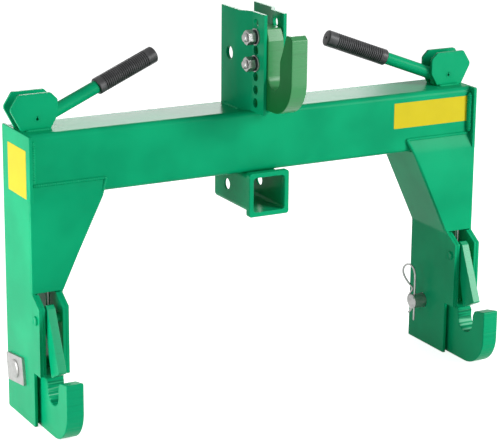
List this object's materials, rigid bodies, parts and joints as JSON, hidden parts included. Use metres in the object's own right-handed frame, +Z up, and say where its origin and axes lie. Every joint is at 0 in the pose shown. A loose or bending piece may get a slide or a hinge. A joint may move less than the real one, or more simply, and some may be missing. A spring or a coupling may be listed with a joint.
{
  "type": "three point quick hitch",
  "caption": "Painted steel three point quick hitch with a bolted top hook, two latched lower hooks, spring-loaded lever latches and a square receiver under the beam.",
  "frame": {"origin": "on the floor under the middle of the hitch's bounding box", "axes": "+X to the right along the beam as seen from the hooks, +Y towards the tractor, +Z up"},
  "size_m": [0.7482, 0.1976, 0.561],
  "materials": {
    "green_paint": "gloss",
    "dark_green_paint": "satin",
    "zinc_plated_steel": "satin",
    "black_oxide_steel": "satin",
    "spring_steel": "satin",
    "black_rubber": "matte"
  },
  "bodies": {
    "frame": {"main_beam": "green_paint", "left_mast_plate": "green_paint", "right_mast_plate": "green_paint", "top_hook": "dark_green_paint", "top_hook_bolts": "zinc_plated_steel", "top_hook_nuts": "zinc_plated_steel", "top_hook_flat_washers": "zinc_plated_steel", "top_hook_lock_washers": "black_oxide_steel", "receiver_tube": "green_paint", "receiver_collar": "green_paint", "left_end_plate": "green_paint", "right_end_plate": "green_paint", "left_leg_front_plate": "green_paint", "right_leg_front_plate": "green_paint", "left_leg_inner_plate": "green_paint", "right_leg_inner_plate": "green_paint", "left_outer_ear": "green_paint", "right_outer_ear": "green_paint", "left_inner_ear": "green_paint", "right_inner_ear": "green_paint", "left_lower_hook": "green_paint", "right_lower_hook": "green_paint", "left_latch_pin": "green_paint", "right_latch_pin": "green_paint", "left_lever_front_bracket": "green_paint", "right_lever_front_bracket": "green_paint", "left_lever_rear_bracket": "green_paint", "right_lever_rear_bracket": "green_paint", "left_lever_pivot_pin": "green_paint", "right_lever_pivot_pin": "green_paint"},
    "left_lever": {"left_lever_cam": "green_paint", "left_lever_rod": "green_paint", "left_lever_grip": "black_rubber"},
    "left_pull_rod": {"left_pull_rod": "zinc_plated_steel", "left_rod_collar": "zinc_plated_steel", "left_return_spring": "spring_steel"},
    "left_latch": {"left_latch": "green_paint"},
    "left_lift_pin": {"left_lift_pin": "zinc_plated_steel"},
    "left_clip": {"left_lift_pin_clip": "zinc_plated_steel"},
    "right_lever": {"right_lever_cam": "green_paint", "right_lever_rod": "green_paint", "right_lever_grip": "black_rubber"},
    "right_pull_rod": {"right_pull_rod": "zinc_plated_steel", "right_rod_collar": "zinc_plated_steel", "right_return_spring": "spring_steel"},
    "right_latch": {"right_latch": "green_paint"},
    "right_lift_pin": {"right_lift_pin": "zinc_plated_steel"},
    "right_clip": {"right_lift_pin_clip": "zinc_plated_steel"}
  },
  "joints": [
    {"name": "left_lever_turn", "type": "hinge", "parent": "frame", "child": "left_lever", "pos_m": [-0.3358, 0.04635, 0.4326], "axis": [0, -1, 0], "range_deg": [0, 60]},
    {"name": "left_rod_lift", "type": "slide", "parent": "frame", "child": "left_pull_rod", "axis": [0, 0, 1], "range_m": [0, 0.013], "stiffness_N_per_m": 900, "springref_m": -0.02, "deforming": ["left_return_spring"]},
    {"name": "left_latch_turn", "type": "hinge", "parent": "frame", "child": "left_latch", "pos_m": [-0.346, -0.01525, 0.161], "axis": [1, 0, 0], "range_deg": [0, 31]},
    {"name": "left_lift_pin_slide", "type": "slide", "parent": "frame", "child": "left_lift_pin", "axis": [-1, 0, 0], "range_m": [0, 0.012]},
    {"name": "left_clip_pull", "type": "slide", "parent": "left_lift_pin", "child": "left_clip", "axis": [0, 0, 1], "range_m": [0, 0.045]},
    {"name": "right_lever_turn", "type": "hinge", "parent": "frame", "child": "right_lever", "pos_m": [0.3358, 0.04635, 0.4326], "axis": [0, 1, 0], "range_deg": [0, 60]},
    {"name": "right_rod_lift", "type": "slide", "parent": "frame", "child": "right_pull_rod", "axis": [0, 0, 1], "range_m": [0, 0.013], "stiffness_N_per_m": 900, "springref_m": -0.02, "deforming": ["right_return_spring"]},
    {"name": "right_latch_turn", "type": "hinge", "parent": "frame", "child": "right_latch", "pos_m": [0.337, -0.01525, 0.161], "axis": [1, 0, 0], "range_deg": [0, 31]},
    {"name": "right_lift_pin_slide", "type": "slide", "parent": "frame", "child": "right_lift_pin", "axis": [1, 0, 0], "range_m": [0, 0.012]},
    {"name": "right_clip_pull", "type": "slide", "parent": "right_lift_pin", "child": "right_clip", "axis": [0, 0, 1], "range_m": [0, 0.045]}
  ],
  "couplings": [
    {"joint": "left_rod_lift", "follows": "left_lever_turn", "m_per_rad": 0.011863},
    {"joint": "left_latch_turn", "follows": "left_lever_turn", "ratio": 0.5},
    {"joint": "right_rod_lift", "follows": "right_lever_turn", "m_per_rad": 0.011863},
    {"joint": "right_latch_turn", "follows": "right_lever_turn", "ratio": 0.5}
  ]
}
